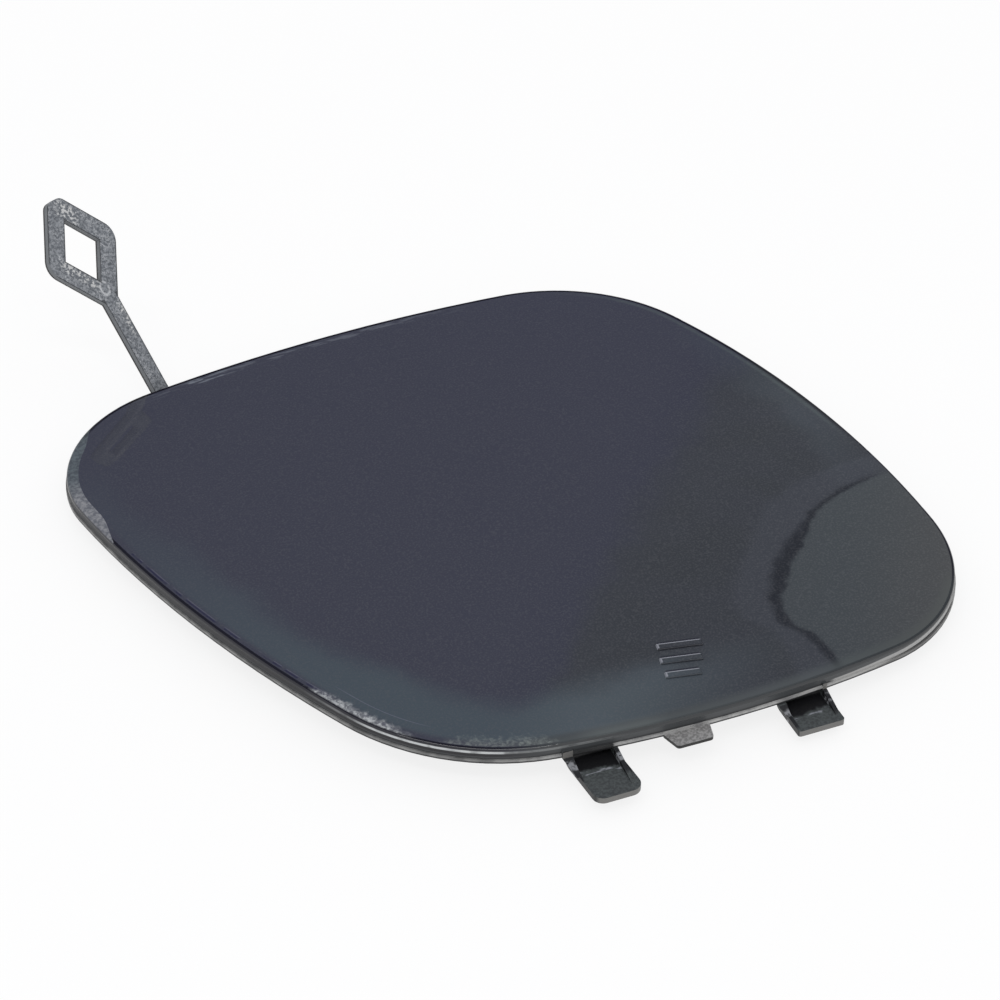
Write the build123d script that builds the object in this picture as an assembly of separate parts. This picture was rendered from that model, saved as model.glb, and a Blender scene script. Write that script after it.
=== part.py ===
from build123d import *
import os
from math import cos, radians, sin, sqrt

# A cover for the towing eye opening of a car bumper, moulded in one piece and lying face up.
# Millimetres. X runs along the hook side, Y from the hooks towards the tether, Z up.
# The ground is at zero height, and the crown is highest above the middle of the skin.

# Outline of the skin: corner points before rounding, bow of each side, radius of each corner
RIGHT_FRONT = (66.8, -50.7)
RIGHT_BACK = (40.7, 55.3)
LEFT_BACK = (-69.1, 49.2)
LEFT_FRONT = (-31.6, -54.7)
HOOK_SIDE_BOW = 7.0
RIGHT_SIDE_BOW = 8.5
BACK_SIDE_BOW = 2.9
LEFT_SIDE_BOW = 7.6
RIGHT_FRONT_RADIUS = 26.2
RIGHT_BACK_RADIUS = 30.6
LEFT_BACK_RADIUS = 22.9
LEFT_FRONT_RADIUS = 38.9

# Skin: height and radius of its crown, thickness, rounded show edge, lip below that edge
FACE_HEIGHT = 10.2
CROWN_RADIUS = 650.0
SKIN_THICKNESS = 2.6
SHOW_EDGE_RADIUS = 0.6
LIP_HEIGHT = 0.7
LIP_STEP = 0.25

# Back of the skin: a rib that follows the edge down to the ground, and a low grid inside it
RIM_INSET = 7.5
RIM_WIDTH = 1.5
GRID_WIDTH = 1.2
GRID_DEPTH = 1.4
GRID_SPACING = 28.0
GRID_LINES = 3

# Two fixed hooks, nearly along Y: places along the hook side from its middle, and form
LEFT_HOOK_PLACE = -25.7
LEFT_HOOK_REACH = 8.9
LEFT_HOOK_LEAN = 1.0
LEFT_HOOK_GUSSET = 3.3
LEFT_HOOK_TIP_RADIUS = 1.8
RIGHT_HOOK_PLACE = 10.5
RIGHT_HOOK_REACH = 6.1
RIGHT_HOOK_LEAN = 0.2
RIGHT_HOOK_GUSSET = 2.2
RIGHT_HOOK_TIP_RADIUS = 0.5
HOOK_WIDTH = 8.0
HOOK_THICKNESS = 1.1
HOOK_DROP = 1.2
HOOK_SETBACK = 1.2
HOOK_BEND_RADIUS = 0.6
GUSSET_WIDTH = 0.7
GUSSET_FLARE = 1.0
LONG_GUSSET_END = 1.4

# Short locating tongue between the hooks
TONGUE_PLACE = -10.3
TONGUE_WIDTH = 7.7
TONGUE_REACH = 3.1
TONGUE_THICKNESS = 0.6
TONGUE_RISE = -0.25
TONGUE_ROOT = 2.0
TONGUE_LEFT_TAPER = 1.1
TONGUE_RIGHT_TAPER = 0.6
TONGUE_CORNER_RADIUS = 0.6

# Two snap arms on the far side, beside the tether, which end just above the ground
RIGHT_ARM_PLACE = -28.0
LEFT_ARM_PLACE = 8.0
ARM_INSET = 1.4
ARM_WIDTH = 9.0
ARM_THICKNESS = 1.6
ARM_GROUND_GAP = 0.3
CATCH_DEPTH = 1.2
CATCH_REACH = 2.6
CATCH_NOSE = 0.7
ARM_RIB_THICKNESS = 1.0
ARM_RIB_REACH = 3.4

# Tether: root block, thin hinge and bend under the edge, then a straight strap up to the eye
TETHER_PLACE = 26.6
TETHER_TURN = 22.0
ROOT_LENGTH = 3.5
ROOT_WIDTH = 5.0
STRAP_WIDTH = 3.0
STRAP_THICKNESS = 1.4
STRAP_SLOPE = 52.7
STRAP_GROUND_GAP = 0.8
STRAP_START_INSET = 5.2
STRAP_BEND_RADIUS = 5.0
STRAP_LENGTH = 17.8
HINGE_WIDTH = 1.0
HINGE_DEPTH = 0.5
EYE_HOLE_LENGTH = 12.5
EYE_HOLE_WIDTH = 8.3
EYE_BAR_WIDTH = 3.4
EYE_SIDE_RADIUS = 3.6
EYE_TIP_CUT = 2.7
EYE_TIP_RADIUS = 1.6
EYE_TURN = -2.0
EJECTOR_MARK_DIAMETER = 2.1
EJECTOR_MARK_DEPTH = 0.2
EJECTOR_MARK_GAP = 0.4

# Three raised bars near the hook side that show where to press
PRESS_MARK_CENTRE = (11.9, -48.0)
PRESS_MARK_TURN = -9.3
PRESS_BAR_LENGTHS = (7.4, 6.9, 5.8)
PRESS_BAR_WIDTH = 1.3
PRESS_BAR_PITCH = 3.1
PRESS_BAR_SHIFT = 0.5
PRESS_BAR_HEIGHT = 0.3
PRESS_BAR_EDGE_RADIUS = 0.2

# What grows from the skin starts in the middle of its thickness
ROOT_DEPTH = SKIN_THICKNESS / 2


def bowed_side(start, end, bow):
    """One side of the outline, walked counter-clockwise, as an arc that bows outwards."""
    start = Vector(*start)
    end = Vector(*end)
    chord = (end - start).normalized()
    outwards = Vector(chord.Y, -chord.X)
    return ThreePointArc(start, (start + end) / 2 + outwards * bow, end)


HOOK_SIDE = bowed_side(LEFT_FRONT, RIGHT_FRONT, HOOK_SIDE_BOW)
RIGHT_SIDE = bowed_side(RIGHT_FRONT, RIGHT_BACK, RIGHT_SIDE_BOW)
BACK_SIDE = bowed_side(RIGHT_BACK, LEFT_BACK, BACK_SIDE_BOW)
LEFT_SIDE = bowed_side(LEFT_BACK, LEFT_FRONT, LEFT_SIDE_BOW)


def skin_outline():
    """Four bowed sides with rounded corners, seen from above."""
    outline = make_face([HOOK_SIDE, RIGHT_SIDE, BACK_SIDE, LEFT_SIDE])
    roundings = (
        (RIGHT_FRONT, RIGHT_FRONT_RADIUS),
        (RIGHT_BACK, RIGHT_BACK_RADIUS),
        (LEFT_BACK, LEFT_BACK_RADIUS),
        (LEFT_FRONT, LEFT_FRONT_RADIUS),
    )
    for corner, radius in roundings:
        vertex = outline.vertices().sort_by_distance((*corner, 0))[0]
        outline = fillet(vertex, radius)
    return outline


def inset_outline(outline, distance):
    """The outline moved inwards: each arc keeps its centre and gives up some radius."""
    arcs = []
    for edge in outline.edges():
        centre = edge.arc_center
        share = (edge.radius - distance) / edge.radius
        start, middle, end = (centre + (edge @ place - centre) * share for place in (0, 0.5, 1))
        arcs.append(ThreePointArc(start, middle, end))
    return make_face(arcs)


def crown_height(x, y):
    """Height of the show face above the ground at a place seen from above."""
    return FACE_HEIGHT - CROWN_RADIUS + sqrt(CROWN_RADIUS ** 2 - x ** 2 - y ** 2)


def below_crown(depth):
    """Ball whose upper surface runs at this depth under the show face, with its poles level."""
    return Pos(0, 0, FACE_HEIGHT - CROWN_RADIUS) * Rot(90, 0, 0) * Sphere(CROWN_RADIUS - depth)


def between_crowns(sketch, upper_depth, lower_depth):
    """A flat sketch raised into a layer that follows the crown."""
    column = extrude(sketch, 2 * FACE_HEIGHT, both=True)
    return (column & below_crown(upper_depth)) - below_crown(lower_depth)


def place_on_edge(outline, side, offset):
    """Frame on the edge, at a distance from a side's middle: x along that side, y inwards."""
    where = 0.5 + offset / side.length
    beside = side @ where
    arc = outline.edges().sort_by_distance(beside)[0]
    on_edge = arc.arc_center + (beside - arc.arc_center).normalized() * arc.radius
    return Plane(origin=on_edge, x_dir=side % where, z_dir=(0, 0, 1))


def straight_along_y(frame):
    """The same place, turned so that its inward direction is the model's Y."""
    return Plane(origin=frame.origin, x_dir=(1, 0, 0), z_dir=(0, 0, 1))


def underside_height(frame):
    """Height of the skin's underside above the ground at a frame's origin."""
    return crown_height(frame.origin.X, frame.origin.Y) - SKIN_THICKNESS


def upright_plate(frame, sketch, middle, thickness):
    """A profile of inward distance and height, as a plate with its middle along the side."""
    origin = frame.from_local_coords((middle, 0, 0))
    plane = Plane(origin=origin, x_dir=frame.y_dir, z_dir=frame.x_dir)
    return extrude(plane * sketch, thickness / 2, both=True)


def skin(outline):
    """Crowned skin: a rounded show edge over a lip that stands out a little."""
    lip_top = SKIN_THICKNESS - LIP_HEIGHT
    show = between_crowns(inset_outline(outline, LIP_STEP), 0, lip_top)
    show_face = show.faces().sort_by(Axis.Z)[-1]
    show = fillet(show_face.edges(), SHOW_EDGE_RADIUS)
    return show + between_crowns(outline, lip_top, SKIN_THICKNESS)


def rim_rib(outline):
    """Rib on the back that follows the edge, sits in the bumper's opening and ends flat."""
    ring = inset_outline(outline, RIM_INSET) - inset_outline(outline, RIM_INSET + RIM_WIDTH)
    return extrude(ring, FACE_HEIGHT) & below_crown(ROOT_DEPTH)


def stiffener_grid(outline):
    """Low ribs both ways across the back, inside the rim rib."""
    inside = inset_outline(outline, RIM_INSET + RIM_WIDTH / 2)
    length = 2 * inside.bounding_box().size.length
    strips = GridLocations(GRID_SPACING, 0, GRID_LINES, 1) * Rectangle(GRID_WIDTH, length)
    strips += GridLocations(0, GRID_SPACING, 1, GRID_LINES) * Rectangle(length, GRID_WIDTH)
    ribs = Sketch() + strips & inside
    return between_crowns(ribs, ROOT_DEPTH, SKIN_THICKNESS + GRID_DEPTH)


def hook_profile(underside, reach, gusset_reach):
    """Side view of a hook: low web, tab, and a gusset that falls from the edge to the tab."""
    tab_top = underside - HOOK_DROP
    tab_bottom = tab_top - HOOK_THICKNESS
    web_back = HOOK_SETBACK + HOOK_THICKNESS
    profile = Polygon(
        (LIP_STEP, FACE_HEIGHT),
        (LIP_STEP, underside),
        (-gusset_reach, tab_top),
        (-reach, tab_top),
        (-reach, tab_bottom),
        (web_back, tab_bottom),
        (web_back, FACE_HEIGHT),
        align=None,
    )
    outer_corner = profile.vertices().sort_by_distance((web_back, tab_bottom, 0))[0]
    return fillet(outer_corner, HOOK_BEND_RADIUS + HOOK_THICKNESS)


def hook_pocket(underside, reach):
    """Side view of the pocket over the tab, between the two gussets and before the web."""
    tab_top = underside - HOOK_DROP
    pocket = Polygon(
        (HOOK_SETBACK, FACE_HEIGHT),
        (HOOK_SETBACK, tab_top),
        (-reach, tab_top),
        (-reach, FACE_HEIGHT),
        align=None,
    )
    inner_corner = pocket.vertices().sort_by_distance((HOOK_SETBACK, tab_top, 0))[0]
    return fillet(inner_corner, HOOK_BEND_RADIUS)


def gusset_flare(frame, profile):
    """The left gusset spreads outwards as it rises to the edge, within the hook's profile."""
    underside = underside_height(frame)
    flank = -HOOK_WIDTH / 2
    spread = Polygon(
        (flank + GUSSET_WIDTH / 2, FACE_HEIGHT),
        (flank - GUSSET_FLARE, FACE_HEIGHT),
        (flank - GUSSET_FLARE, underside),
        (flank, underside - HOOK_DROP),
        (flank + GUSSET_WIDTH / 2, underside - HOOK_DROP),
        align=None,
    )
    upright = Plane(origin=frame.origin, x_dir=frame.x_dir, z_dir=-frame.y_dir)
    column = extrude(upright * spread, HOOK_WIDTH, both=True)
    return upright_plate(frame, profile, flank, 2 * GUSSET_FLARE + GUSSET_WIDTH) & column


def hook(frame, reach, lean, gusset_reach, tip_radius):
    """Tab on a low web under the edge, with a pocket between a short and a long gusset."""
    underside = underside_height(frame)
    half = HOOK_WIDTH / 2
    plan = Polygon(
        (-half, HOOK_SETBACK + HOOK_THICKNESS),
        (-half, 0),
        (lean - half, -reach),
        (lean + half, -reach),
        (half, 0),
        (half, HOOK_SETBACK + HOOK_THICKNESS),
        align=None,
    )
    plan = fillet(plan.vertices().sort_by(Axis.Y)[:2], tip_radius)
    short = hook_profile(underside, reach, gusset_reach)
    long = hook_profile(underside, reach, reach - LONG_GUSSET_END)
    body = upright_plate(frame, short, -half, HOOK_WIDTH + lean)
    body += upright_plate(frame, long, half, HOOK_WIDTH)
    body &= extrude(frame * plan, FACE_HEIGHT)
    body += gusset_flare(frame, short)
    pocket = hook_pocket(underside, reach)
    body -= upright_plate(frame, pocket, 0, HOOK_WIDTH - 2 * GUSSET_WIDTH)
    beyond = upright_plate(frame, pocket, half + lean, 2 * lean)
    return body - beyond


def tongue(frame):
    """Flat tapered tongue that grows from the underside at the edge, its top just above it."""
    half = TONGUE_WIDTH / 2
    shape = Polygon(
        (-half, TONGUE_ROOT),
        (-half, 0),
        (TONGUE_LEFT_TAPER - half, -TONGUE_REACH),
        (half - TONGUE_RIGHT_TAPER, -TONGUE_REACH),
        (half, 0),
        (half, TONGUE_ROOT),
        align=None,
    )
    tip_corners = shape.vertices().sort_by(Axis.Y)[:2]
    shape = fillet(tip_corners, TONGUE_CORNER_RADIUS)
    height = underside_height(frame) + TONGUE_RISE
    flat = Plane(frame.origin + Vector(0, 0, height), frame.x_dir, frame.z_dir)
    return extrude(flat * shape, TONGUE_THICKNESS)


def snap_arm(frame):
    """Springy arm just clear of the ground, with a catch outwards and two ribs inwards."""
    underside = underside_height(frame)
    catch = underside - CATCH_DEPTH
    back = ARM_INSET + ARM_THICKNESS
    profile = Polygon(
        (ARM_INSET, FACE_HEIGHT),
        (ARM_INSET, catch),
        (ARM_INSET - CATCH_REACH, catch),
        (ARM_INSET - CATCH_REACH, catch - CATCH_NOSE),
        (ARM_INSET, ARM_GROUND_GAP),
        (back, ARM_GROUND_GAP),
        (back, FACE_HEIGHT),
        align=None,
    )
    arm = upright_plate(frame, profile, 0, ARM_WIDTH)
    rib = Polygon(
        (ARM_INSET, FACE_HEIGHT),
        (ARM_INSET, ARM_GROUND_GAP + ARM_THICKNESS),
        (back, ARM_GROUND_GAP + ARM_THICKNESS),
        (back + ARM_RIB_REACH, underside),
        (back + ARM_RIB_REACH, FACE_HEIGHT),
        align=None,
    )
    middle = (ARM_WIDTH - ARM_RIB_THICKNESS) / 2
    for side in (-1, 1):
        arm += upright_plate(frame, rib, side * middle, ARM_RIB_THICKNESS)
    return arm


def tether_frame(outline):
    """Frame at the edge where the tether leaves: x the way it runs, y up."""
    frame = place_on_edge(outline, BACK_SIDE, TETHER_PLACE)
    heading = (-frame.y_dir).rotate(Axis.Z, TETHER_TURN)
    return Plane(origin=frame.origin, x_dir=heading, z_dir=heading.cross(Vector(0, 0, 1)))


def strap_bend():
    """Centre and end of the bend in the strap's middle line, as run and height."""
    centre = Vector(0, STRAP_GROUND_GAP + STRAP_THICKNESS / 2 + STRAP_BEND_RADIUS)
    slope = radians(STRAP_SLOPE)
    end = centre + Vector(sin(slope), -cos(slope)) * STRAP_BEND_RADIUS
    return centre, end


def strap(frame):
    """Strap from its root block through the hinge and the bend to the foot of the eye."""
    centre, bend_end = strap_bend()
    slope = radians(STRAP_SLOPE)
    along = Vector(cos(slope), sin(slope))
    across = Vector(-sin(slope), cos(slope)) * (STRAP_THICKNESS / 2)
    foot = bend_end + along * STRAP_LENGTH
    low = STRAP_GROUND_GAP
    high = STRAP_GROUND_GAP + STRAP_THICKNESS
    start = -STRAP_START_INSET
    profile = make_face([
        Line((start, high), (start, low)),
        Line((start, low), (centre.X, low)),
        CenterArc(centre, STRAP_BEND_RADIUS + STRAP_THICKNESS / 2, -90, STRAP_SLOPE),
        Line(bend_end - across, foot - across),
        Line(foot - across, foot + across),
        Line(foot + across, bend_end + across),
        CenterArc(centre, STRAP_BEND_RADIUS - STRAP_THICKNESS / 2, -90, STRAP_SLOPE),
        Line((centre.X, high), (start, high)),
    ])
    hinge = Pos(start + HINGE_WIDTH, high) * Rectangle(HINGE_WIDTH, 2 * HINGE_DEPTH)
    band = extrude(frame * (profile - hinge), STRAP_WIDTH / 2, both=True)
    block = Polygon(
        (start, low),
        (start, FACE_HEIGHT),
        (start - ROOT_LENGTH, FACE_HEIGHT),
        (start - ROOT_LENGTH, low),
        align=None,
    )
    root = extrude(frame * block, ROOT_WIDTH / 2, both=True) & below_crown(ROOT_DEPTH)
    return band + root


def eye(frame):
    """Diamond-shaped eye with rounded flanks and a blunt tip, a little out of line with the strap."""
    _, bend_end = strap_bend()
    slope = radians(STRAP_SLOPE)
    along = frame.x_dir * cos(slope) + frame.y_dir * sin(slope)
    across = frame.z_dir
    foot = frame.from_local_coords((bend_end.X, bend_end.Y, 0)) + along * STRAP_LENGTH
    half_length = EYE_HOLE_LENGTH / 2
    half_width = EYE_HOLE_WIDTH / 2
    hole = Polygon(
        (half_length, 0),
        (0, half_width),
        (-half_length, 0),
        (0, -half_width),
        align=None,
    )
    outer = offset(hole, EYE_BAR_WIDTH, kind=Kind.INTERSECTION)
    flanks = outer.vertices().sort_by(Axis.Y)
    outer = fillet([flanks[0], flanks[-1]], EYE_SIDE_RADIUS)
    outer = chamfer(outer.vertices().sort_by(Axis.X)[-1], EYE_TIP_CUT)
    outer = fillet(outer.vertices().sort_by(Axis.X)[-2:], EYE_TIP_RADIUS)
    outer_foot = outer.bounding_box().min.X
    overlap = STRAP_WIDTH / 2 * half_length / half_width
    flat = Plane(origin=foot, x_dir=along, z_dir=along.cross(across)).location
    flat = flat * Rot(0, 0, EYE_TURN) * Pos(-outer_foot - overlap, 0)
    ring = extrude(flat * (outer - hole), STRAP_THICKNESS / 2, both=True)
    mark_middle = -half_length - EJECTOR_MARK_GAP - EJECTOR_MARK_DIAMETER / 2
    mark = flat * Pos(mark_middle, 0, STRAP_THICKNESS / 2) * Circle(EJECTOR_MARK_DIAMETER / 2)
    return ring - extrude(mark, EJECTOR_MARK_DEPTH, both=True)


def press_mark():
    """Three raised bars side by side, each shifted a little against the one behind it."""
    mark = Location((*PRESS_MARK_CENTRE, 0), (0, 0, PRESS_MARK_TURN))
    bars = Sketch()
    for number, length in enumerate(PRESS_BAR_LENGTHS):
        row = 1 - number
        place = mark * Pos(row * PRESS_BAR_SHIFT, row * PRESS_BAR_PITCH)
        bars += place * Rectangle(length, PRESS_BAR_WIDTH)
    raised = between_crowns(bars, -PRESS_BAR_HEIGHT, ROOT_DEPTH)
    tops = raised.faces().sort_by(Axis.Z)[-len(PRESS_BAR_LENGTHS):]
    return fillet(tops.edges(), PRESS_BAR_EDGE_RADIUS)


def cover():
    """The whole moulding, with the middle of its box above the origin."""
    outline = skin_outline()
    left_hook = straight_along_y(place_on_edge(outline, HOOK_SIDE, LEFT_HOOK_PLACE))
    right_hook = straight_along_y(place_on_edge(outline, HOOK_SIDE, RIGHT_HOOK_PLACE))
    tether_plane = tether_frame(outline)
    fixings = [
        hook(
            left_hook,
            LEFT_HOOK_REACH,
            LEFT_HOOK_LEAN,
            LEFT_HOOK_GUSSET,
            LEFT_HOOK_TIP_RADIUS,
        ),
        hook(
            right_hook,
            RIGHT_HOOK_REACH,
            RIGHT_HOOK_LEAN,
            RIGHT_HOOK_GUSSET,
            RIGHT_HOOK_TIP_RADIUS,
        ),
        snap_arm(place_on_edge(outline, BACK_SIDE, RIGHT_ARM_PLACE)),
        snap_arm(place_on_edge(outline, BACK_SIDE, LEFT_ARM_PLACE)),
    ]
    whole = skin(outline) + [
        rim_rib(outline),
        stiffener_grid(outline),
        *[fixing & below_crown(ROOT_DEPTH) for fixing in fixings],
        tongue(place_on_edge(outline, HOOK_SIDE, TONGUE_PLACE)),
        press_mark(),
        strap(tether_plane) + eye(tether_plane),
    ]
    middle = whole.bounding_box().center()
    return Pos(-middle.X, -middle.Y, 0) * whole


os.makedirs("parts", exist_ok=True)
tow_hook_cover = cover()
tow_hook_cover.label = "tow_hook_cover"
export_step(tow_hook_cover, "parts/tow_hook_cover.step")
print("solids", len(tow_hook_cover.solids()), "volume", round(tow_hook_cover.volume, 1))
print("box", tow_hook_cover.bounding_box())
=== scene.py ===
# %% [markdown]
# # The cover of a bumper's towing eye opening
#
# On the car this is one moulding: a crowned plate that closes the hole in front of the towing eye.
# Two hooks and a tongue hold its front edge, two snap arms hold the far edge, and a strap with a
# diamond eye keeps it from falling when it is open.
#
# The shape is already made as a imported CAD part, so this lesson is about looks: how one black
# moulding can be glossy on its show face, satin on its hooks and ribs, and rubbed pale grey on
# its tether, all in one material that reads where a point of the surface lies.

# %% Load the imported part
import math

import bpy
from mathutils import Matrix, Vector

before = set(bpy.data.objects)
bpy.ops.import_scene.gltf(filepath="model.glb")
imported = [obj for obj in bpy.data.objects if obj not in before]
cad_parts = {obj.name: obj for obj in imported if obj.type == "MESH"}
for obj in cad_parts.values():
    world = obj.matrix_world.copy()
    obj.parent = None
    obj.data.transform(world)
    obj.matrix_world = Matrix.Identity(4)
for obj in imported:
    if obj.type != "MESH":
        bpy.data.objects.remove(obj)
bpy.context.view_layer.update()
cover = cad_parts["tow_hook_cover"]
scene = bpy.context.scene
MM = 0.001
print("nodes", sorted(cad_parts), "triangles", len(cover.data.polygons))

# %% [markdown]
# ## The camera
#
# A camera could be placed by eye, but then every later comparison with the photograph is a
# guess. Here its place and its three directions were worked out once, from where the part's
# corners fall in the picture. A long lens, seen from a little over half a metre, gives the weak
# perspective that product photographs have.

# %% Place the camera
CAMERA_PLACE = Vector((-145.8, -371.04, 330.3)) * MM
CAMERA_RIGHT = Vector((0.9291, -0.3697, 0.0)).normalized()
CAMERA_FORWARD = Vector((0.2861, 0.7190, -0.6334)).normalized()
CAMERA_UP = CAMERA_RIGHT.cross(CAMERA_FORWARD)
LENS = 109.1
SENSOR_WIDTH = 36.0
NEAREST, FARTHEST = 0.01, 20.0

camera_data = bpy.data.cameras.new("camera")
camera_data.lens = LENS
camera_data.sensor_width = SENSOR_WIDTH
camera_data.clip_start = NEAREST
camera_data.clip_end = FARTHEST
camera = bpy.data.objects.new("camera", camera_data)
scene.collection.objects.link(camera)
turn = Matrix((CAMERA_RIGHT, CAMERA_UP, -CAMERA_FORWARD)).transposed()
camera.matrix_world = Matrix.Translation(CAMERA_PLACE) @ turn.to_4x4()
scene.camera = camera
print("camera looks down by", round(math.degrees(math.asin(-CAMERA_FORWARD.z)), 1), "degrees")

# %% [markdown]
# ## Helpers that make nodes
#
# Every finish below is a small network of nodes. Wiring them by hand in code is wordy, so these
# helpers make a node and do sums on numbers and on vectors. They are kept this small so that each
# finish still reads as a recipe.


# %% Node helpers
def plug(tree, made, name, value):
    """An input takes a number, a colour or another node's socket."""
    if isinstance(value, bpy.types.NodeSocket):
        tree.links.new(value, made.inputs[name])
    else:
        made.inputs[name].default_value = value


def add(tree, kind, inputs=None, **settings):
    """One node: its settings are attributes, and its inputs are given by name or number."""
    made = tree.nodes.new(kind)
    for name, value in settings.items():
        setattr(made, name, value)
    for name, value in (inputs or {}).items():
        plug(tree, made, name, value)
    return made


def sum_of(tree, operation, first, second=0.0):
    """The result of one sum on two numbers or sockets."""
    return add(tree, "ShaderNodeMath", {0: first, 1: second}, operation=operation).outputs[0]


def plus(tree, first, second):
    """Two numbers added."""
    return sum_of(tree, "ADD", first, second)


def minus(tree, first, second):
    """The first number less the second."""
    return sum_of(tree, "SUBTRACT", first, second)


def product(tree, *factors):
    """All the factors multiplied. On masks, this is where all of them hold."""
    result = factors[0]
    for factor in factors[1:]:
        result = sum_of(tree, "MULTIPLY", result, factor)
    return result


def largest(tree, *values):
    """The largest of the values. On masks, this is where any of them holds."""
    result = values[0]
    for value in values[1:]:
        result = sum_of(tree, "MAXIMUM", result, value)
    return result


def rest_of(tree, share):
    """What a share leaves of the whole."""
    return minus(tree, 1.0, share)


def off_from(tree, value, middle):
    """How far a value is from a middle, on either side."""
    return sum_of(tree, "ABSOLUTE", minus(tree, value, middle))


def vector_sum(tree, operation, first, second=(0, 0, 0)):
    """One sum on vectors. It gives the node, because some sums end in a number."""
    return add(tree, "ShaderNodeVectorMath", {0: first, 1: tuple(second)}, operation=operation)


def dot(tree, first, second):
    """How far a vector reaches along another."""
    return vector_sum(tree, "DOT_PRODUCT", first, second).outputs["Value"]


print("node helpers ready")

# %% [markdown]
# ## Helpers that mask and blend
#
# A finish needs to know where it lies, and how it passes into the next one. A hard limit would
# show as a jagged line in the render, so most masks are smooth ramps, and colours and numbers are
# blended by them. Coats of colour are laid one over another, as paint is.


# %% Mask and blend helpers
def soft_step(tree, value, start, end):
    """0 before start, 1 after end and a smooth ramp between. Start may be the larger one."""
    made = add(
        tree, "ShaderNodeMapRange",
        {"Value": value, "From Min": start, "From Max": end},
        interpolation_type="SMOOTHSTEP",
    )
    return made.outputs["Result"]


def between(tree, value, low, high, softness):
    """1 between two values, with soft ends."""
    half = softness / 2
    rising = soft_step(tree, value, low - half, low + half)
    return product(tree, rising, soft_step(tree, value, high + half, high - half))


def mix_colour(tree, share, first, second):
    """Blend of two colours or colour sockets."""
    made = add(tree, "ShaderNodeMix", data_type="RGBA")
    for place, value in ((0, share), (6, first), (7, second)):
        plug(tree, made, place, value)
    return made.outputs[2]


def coats(tree, colour, *layers):
    """Coats laid over a colour, one after another. Each is a share and its own colour."""
    for share, coat in layers:
        colour = mix_colour(tree, share, colour, coat)
    return colour


def mix_number(tree, share, first, second):
    """Blend of two numbers or number sockets."""
    made = add(tree, "ShaderNodeMix", {0: share, 2: first, 3: second}, data_type="FLOAT")
    return made.outputs[0]


def noise(tree, vector, cell, **more):
    """Noise whose blotches are about this long, in metres."""
    inputs = {"Vector": vector, "Scale": 1.0 / cell, **more}
    return add(tree, "ShaderNodeTexNoise", inputs).outputs["Fac"]


print("mask helpers ready")

# %% [markdown]
# ## How far from the edge
#
# Polish, wear and shade on such a cover follow its edge, so the material has to know how far in
# from the edge a point lies. An edge mask could be painted or baked, but the outline is only four
# long arcs joined by four corner arcs. Inside an arc, the distance to the edge is the arc's
# radius less the distance to its centre. The smallest of the four sides counts, except within a
# corner's own sector, where the corner's arc does. That is exact, and sharp at any size.

# %% Distance to the edge
SIDES = {
    "hook side": ((10.38, 111.92), 176.69),
    "right side": ((-112.62, -43.52), 179.50),
    "far side": ((14.31, -471.69), 522.71),
    "left side": ((134.51, 59.16), 204.48),
}
CORNERS = {
    "right front": ((40.48, -35.53), 26.20, -37.7, 40.7),
    "right back": ((21.89, 20.36), 30.60, 57.2, 31.9),
    "left back": ((-43.78, 24.73), 22.90, 143.8, 47.1),
    "left front": ((-8.32, -24.60), 38.90, -123.7, 25.9),
}

plastic = bpy.data.materials.new("moulded_plastic")
plastic.use_nodes = True
tree = plastic.node_tree
tree.nodes.clear()
place = add(tree, "ShaderNodeTexCoord")
position = place.outputs["Object"]
normal = place.outputs["Normal"]
from_above = vector_sum(tree, "MULTIPLY", position, (1, 1, 0)).outputs["Vector"]


def arc_offset(centre):
    """Distance and heading from an arc's centre, seen from above."""
    centre = (centre[0] * MM, centre[1] * MM, 0)
    offset = vector_sum(tree, "SUBTRACT", from_above, centre).outputs["Vector"]
    length = vector_sum(tree, "LENGTH", offset).outputs["Value"]
    heading = vector_sum(tree, "NORMALIZE", offset).outputs["Vector"]
    return length, heading


def towards(heading, degrees):
    """Cosine of the angle between a heading and a compass angle, counted from +X."""
    angle = math.radians(degrees)
    return dot(tree, heading, (math.cos(angle), math.sin(angle), 0))


def sector(heading, middle, half, fade):
    """1 within half of a middle angle, in degrees, and fading inwards from that limit."""
    limit = math.cos(math.radians(half))
    full = math.cos(math.radians(half - fade))
    return soft_step(tree, towards(heading, middle), limit, full)


edge = None
headings = {}
for centre, radius in SIDES.values():
    length, heading = arc_offset(centre)
    inside = minus(tree, radius * MM, length)
    edge = inside if edge is None else sum_of(tree, "MINIMUM", edge, inside)
for name, (centre, radius, middle, half) in CORNERS.items():
    length, headings[name] = arc_offset(centre)
    inside = minus(tree, radius * MM, length)
    limit = math.cos(math.radians(half))
    within = sum_of(tree, "GREATER_THAN", towards(headings[name], middle), limit)
    edge = mix_number(tree, within, edge, inside)
print("edge distance from", len(SIDES) + len(CORNERS), "arcs")

# %% [markdown]
# ## Where each finish lies
#
# The tool that moulds such a cover is polished only where the show face forms. Everything else is
# left as it was milled or spark eroded. The show face lies on a ball of 650 mm radius, so depth
# under that ball tells the face from the wall below it and from the lip below the wall. Planes
# are enough for the tether, the tongue and the hooks, which stick out past the edge.

# %% Masks of the finishes
CROWN_CENTRE = Vector((-0.326, -4.933, -639.8)) * MM
CROWN_RADIUS = 650 * MM
SHOW_DEPTH = 0.62 * MM
LIP_TOP = 1.88 * MM
SKIN_DEPTH = 2.66 * MM
SHARP = 0.06 * MM
TETHER_BACK = 44.1 * MM
TETHER_LEFT = -34 * MM
FRONT_LIMIT = -50 * MM
TONGUE_MIDDLE = 7.3 * MM
TONGUE_HALF_WIDTH = 5.2 * MM

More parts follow.
